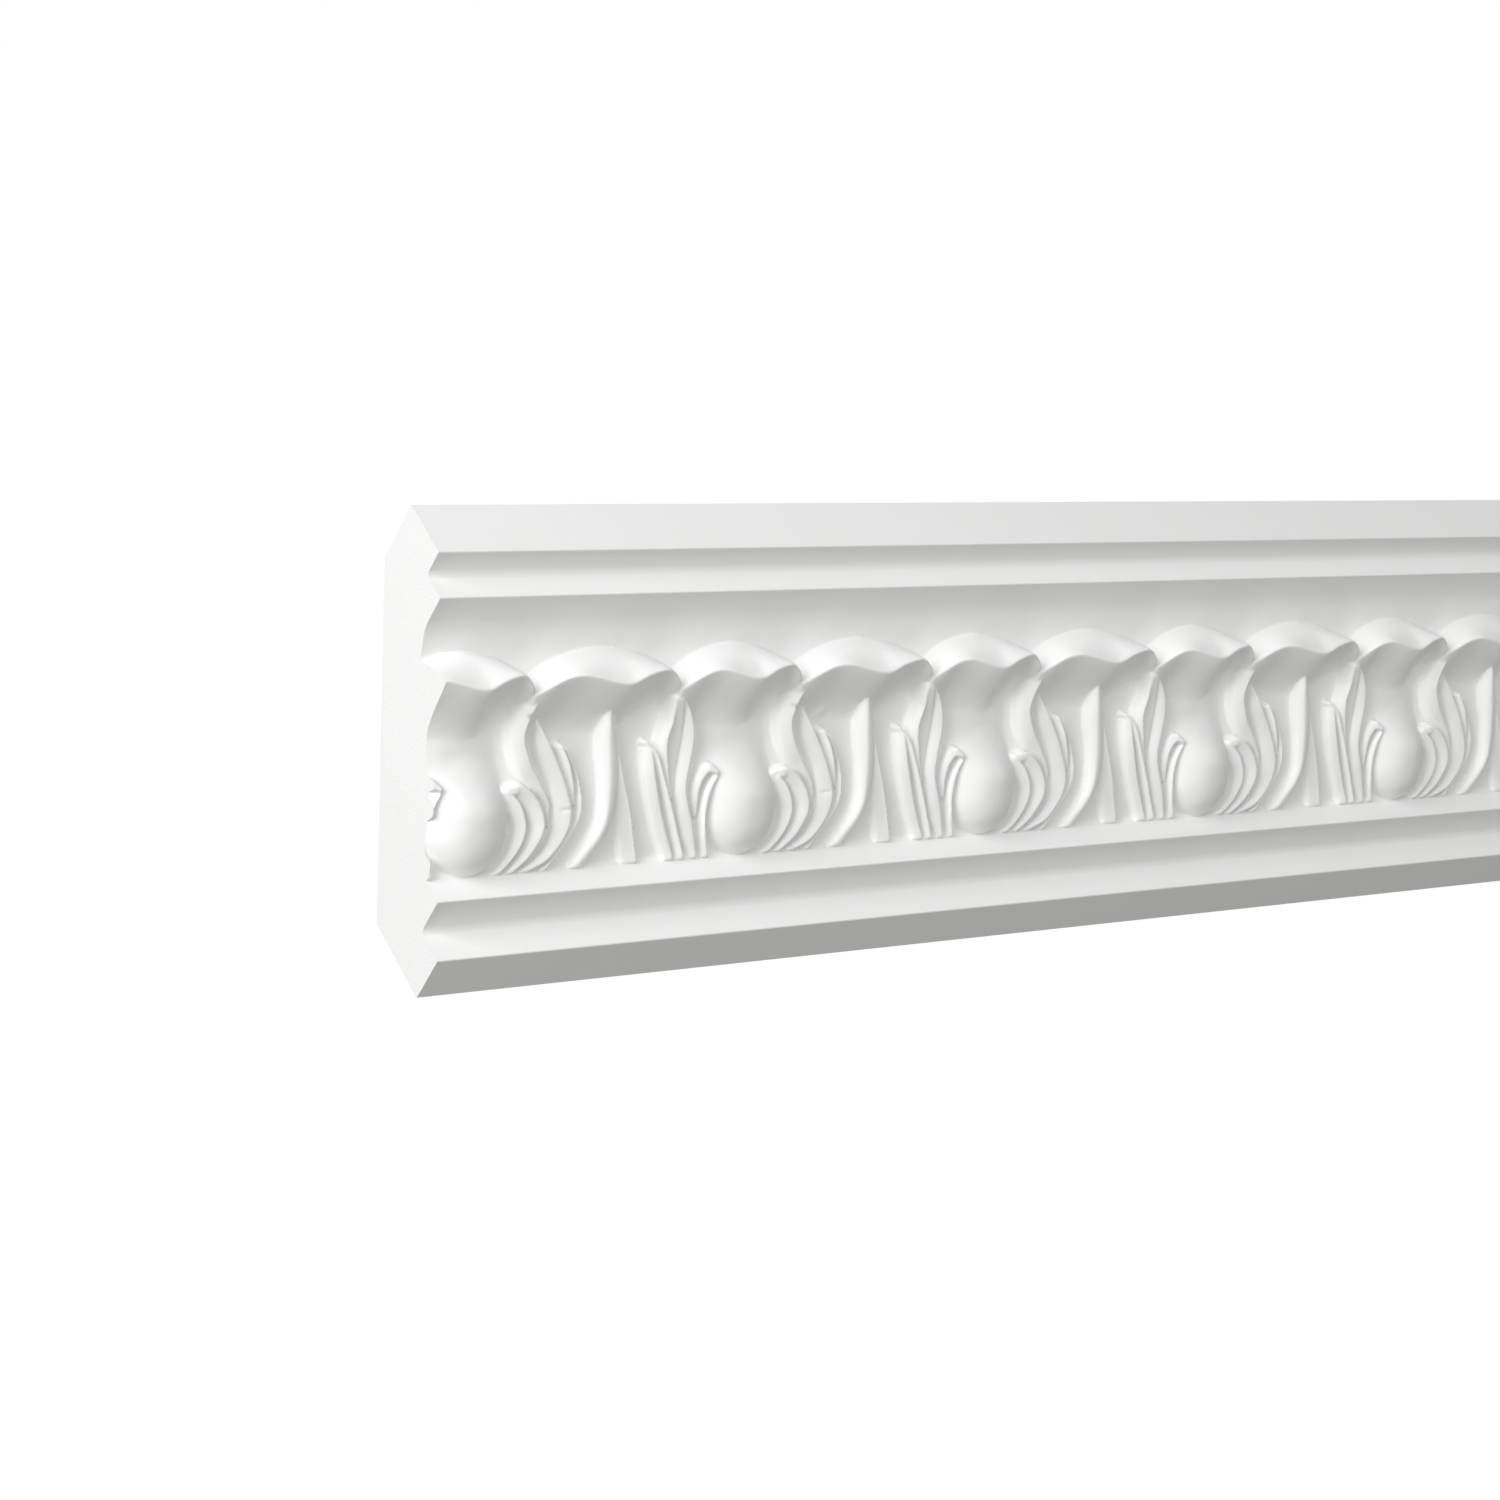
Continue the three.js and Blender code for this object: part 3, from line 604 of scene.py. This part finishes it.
def primedPolyurethane():
    # rigid polyurethane foam cast in a closed mould and sprayed with white primer: a matte
    # closed skin with a faint orange peel and a few dust nibs, and where a length is sawn off
    # the fine open cells of the foam show through thin primer, with painted shade in each pit
    look = {
        "colour": "#F8F8F8", "thinColour": "#F4F4F3", "cloudSize": 16, "cloudDetail": 3,
        "roughness": (0.5, 0.6), "ior": 1.47,
        "sagSize": 5.5, "sagDetail": 1, "sagDepth": 0.035,
        "peelSize": 0.9, "peelDetail": 2, "peelDepth": 0.012, "peelStrength": 0.6,
        "nibSpacing": 4.5, "nibSize": 0.14, "nibTop": 1 / 3, "nibHeight": 0.05, "nibShare": 0.3,
        # the sawn end's colour below is painted shade for the pits of the open cells
        "cellSize": 0.45, "cellDepth": 0.05, "paintedPitShadeColour": "#F1F1F0", "endSkin": 0.1,
    }
    material = bpy.data.materials.new("primed cast polyurethane")
    material.use_nodes = True
    tree = material.node_tree
    tree.nodes.clear()
    place = addNode(tree, "ShaderNodeTexCoord").outputs["Object"]

    # how much a spot belongs to a sawn end, from its distance along the length
    apart = addNode(tree, "ShaderNodeSeparateXYZ", None, {"Vector": place})
    fromMiddle = addNode(tree, "ShaderNodeMath", {"operation": "ABSOLUTE"}, {"Value": apart.outputs["X"]})
    onEnd = addNode(tree, "ShaderNodeMath", {"operation": "GREATER_THAN"}, {"Value": fromMiddle.outputs[0]})
    onEnd.inputs[1].default_value = (run["length"] / 2 - look["endSkin"]) * mm

    # colour: the coat is a touch thinner in places, and on a sawn end each cell's pit is painted darker,
    # which is painted shade
    clouds = addNode(tree, "ShaderNodeTexNoise",
                     {"Scale": 1 / (look["cloudSize"] * mm), "Detail": look["cloudDetail"]},
                     {"Vector": place})
    coat = addNode(tree, "ShaderNodeMix", {"data_type": "RGBA"}, {"Factor": clouds.outputs["Fac"]})
    coat.inputs[6].default_value = linearColour(look["colour"])
    coat.inputs[7].default_value = linearColour(look["thinColour"])

    cells = addNode(tree, "ShaderNodeTexVoronoi",
                    {"Scale": 1 / (look["cellSize"] * mm), "feature": "SMOOTH_F1"}, {"Vector": place})
    # painted shade: the colour goes darker towards the middle of each open cell, the deepest part of its pit
    cellsWithPaintedShade = addNode(tree, "ShaderNodeMix", {"data_type": "RGBA"}, {"Factor": cells.outputs["Distance"]})
    cellsWithPaintedShade.inputs[6].default_value = linearColour(look["paintedPitShadeColour"])
    cellsWithPaintedShade.inputs[7].default_value = linearColour(look["colour"])
    shade = addNode(tree, "ShaderNodeMix", {"data_type": "RGBA"}, {"Factor": onEnd.outputs[0]})
    tree.links.new(coat.outputs[2], shade.inputs[6])
    tree.links.new(cellsWithPaintedShade.outputs[2], shade.inputs[7])

    dull, duller = look["roughness"]
    gloss = addNode(tree, "ShaderNodeMapRange", {"To Min": dull, "To Max": duller},
                    {"Value": clouds.outputs["Fac"]})

    # relief: sags of the wet coat, orange peel, dust nibs, and open cells on the sawn ends
    sags = addNode(tree, "ShaderNodeTexNoise",
                   {"Scale": 1 / (look["sagSize"] * mm), "Detail": look["sagDetail"]}, {"Vector": place})
    sagRelief = addNode(tree, "ShaderNodeBump", {"Strength": 1.0, "Distance": look["sagDepth"] * mm},
                        {"Height": sags.outputs["Fac"]})
    peel = addNode(tree, "ShaderNodeTexNoise",
                   {"Scale": 1 / (look["peelSize"] * mm), "Detail": look["peelDetail"]}, {"Vector": place})
    peelRelief = addNode(tree, "ShaderNodeBump",
                         {"Strength": look["peelStrength"], "Distance": look["peelDepth"] * mm},
                         {"Height": peel.outputs["Fac"], "Normal": sagRelief.outputs["Normal"]})
    nibs = addNode(tree, "ShaderNodeTexVoronoi", {"Scale": 1 / (look["nibSpacing"] * mm)}, {"Vector": place})
    nibEdge = look["nibSize"] / look["nibSpacing"]
    nibTop = addNode(tree, "ShaderNodeMapRange",
                     {"From Min": nibEdge, "From Max": nibEdge * look["nibTop"]},
                     {"Value": nibs.outputs["Distance"]})
    chance = addNode(tree, "ShaderNodeSeparateColor", None, {"Color": nibs.outputs["Color"]})
    present = addNode(tree, "ShaderNodeMath", {"operation": "LESS_THAN"}, {"Value": chance.outputs["Red"]})
    present.inputs[1].default_value = look["nibShare"]
    nib = addNode(tree, "ShaderNodeMath", {"operation": "MULTIPLY"}, {"Value": nibTop.outputs[0]})
    tree.links.new(present.outputs[0], nib.inputs[1])
    nibRelief = addNode(tree, "ShaderNodeBump", {"Strength": 1.0, "Distance": look["nibHeight"] * mm},
                        {"Height": nib.outputs[0], "Normal": peelRelief.outputs["Normal"]})
    cellRelief = addNode(tree, "ShaderNodeBump", {"Distance": look["cellDepth"] * mm},
                         {"Height": cells.outputs["Distance"], "Strength": onEnd.outputs[0],
                          "Normal": nibRelief.outputs["Normal"]})

    surface = addNode(tree, "ShaderNodeBsdfPrincipled", {"IOR": look["ior"]},
                      {"Base Color": shade.outputs[2], "Roughness": gloss.outputs["Result"],
                       "Normal": cellRelief.outputs["Normal"]})
    addNode(tree, "ShaderNodeOutputMaterial", None, {"Surface": surface.outputs["BSDF"]})
    print("material", material.name)
    return material


# camera: below and to the left of the moulding, solved from its own edges in the photo
camera = {
    "place": (-587.3, -507.2, -391.0),
    "forward": (0.6184, 0.5907, 0.5183),
    "up": (0.0473, -0.6863, 0.7258),
    "lens": 84,
    "sensor": 36,
    "nearest": 10,  # nothing closer than this is drawn
}


def placeCamera():
    forward = Vector(camera["forward"]).normalized()
    right = forward.cross(Vector(camera["up"])).normalized()
    up = right.cross(forward)
    turn = Matrix((right, up, -forward)).transposed()
    bpy.ops.object.camera_add()
    view = bpy.context.object
    view.matrix_world = Matrix.Translation(Vector(camera["place"]) * mm) @ turn.to_4x4()
    view.data.lens = camera["lens"]
    view.data.sensor_width = camera["sensor"]
    view.data.clip_start = camera["nearest"] * mm
    bpy.context.scene.camera = view
    print("camera", camera["lens"], "mm")


# lamps: direction from the moulding, distance and size in metres, power in watts
studio = {
    "key": {"direction": (-0.88, -0.46, 0.08), "distance": 1.6, "size": 1.0, "power": 20.6},
    "fill": {"direction": (-0.2, -0.95, -0.25), "distance": 1.8, "size": 1.5, "power": 9.6},
    "target": (0, -0.04, 0.01),  # in metres, inside the moulding
    "ambient": 0.26,
    "backdrop": 1.0,  # what the camera sees behind the moulding
}


def softLight(name, lamp):
    target = Vector(studio["target"])
    away = Vector(lamp["direction"]).normalized()
    bpy.ops.object.light_add(type="AREA", location=target + away * lamp["distance"])
    light = bpy.context.object
    light.name = name
    light.rotation_euler = away.to_track_quat("Z", "Y").to_euler()
    light.data.shape = "SQUARE"
    light.data.size = lamp["size"]
    light.data.energy = lamp["power"]


def lightStudio():
    for name in ("key", "fill"):
        softLight(name, studio[name])
    world = bpy.data.worlds.new("studio")
    world.use_nodes = True
    tree = world.node_tree
    tree.nodes.clear()
    path = addNode(tree, "ShaderNodeLightPath")
    ambient = addNode(tree, "ShaderNodeBackground", {"Color": (1, 1, 1, 1), "Strength": studio["ambient"]})
    backdrop = addNode(tree, "ShaderNodeBackground", {"Color": (1, 1, 1, 1), "Strength": studio["backdrop"]})
    chosen = addNode(tree, "ShaderNodeMixShader", None, {"Fac": path.outputs["Is Camera Ray"]})
    tree.links.new(ambient.outputs[0], chosen.inputs[1])
    tree.links.new(backdrop.outputs[0], chosen.inputs[2])
    addNode(tree, "ShaderNodeOutputWorld", None, {"Surface": chosen.outputs[0]})
    bpy.context.scene.world = world
    bpy.context.scene.view_settings.view_transform = "Standard"
    print("studio lit")


floorPaint = {
    "size": 8,  # in metres
    "height": -1.3,  # in metres, well below the moulding, which hangs on its wall
    "colour": "#D9D9D7",
    "roughness": 0.8,
}


def makeFloor():
    deselectAll()
    bpy.ops.mesh.primitive_plane_add(size=floorPaint["size"], location=(0, 0, floorPaint["height"]))
    floor = bpy.context.object
    floor.name = "studio_floor"
    material = bpy.data.materials.new("pale floor paint")  # matte emulsion, even and dull
    material.use_nodes = True
    shader = material.node_tree.nodes["Principled BSDF"]
    shader.inputs["Base Color"].default_value = linearColour(floorPaint["colour"])
    shader.inputs["Roughness"].default_value = floorPaint["roughness"]
    floor.data.materials.append(material)
    print("floor laid")


placeCamera()
cornice = makeCornice()
cornice.data.materials.clear()
cornice.data.materials.append(primedPolyurethane())
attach(cornice, "root")
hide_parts(nodeName)
lightStudio()
makeFloor()
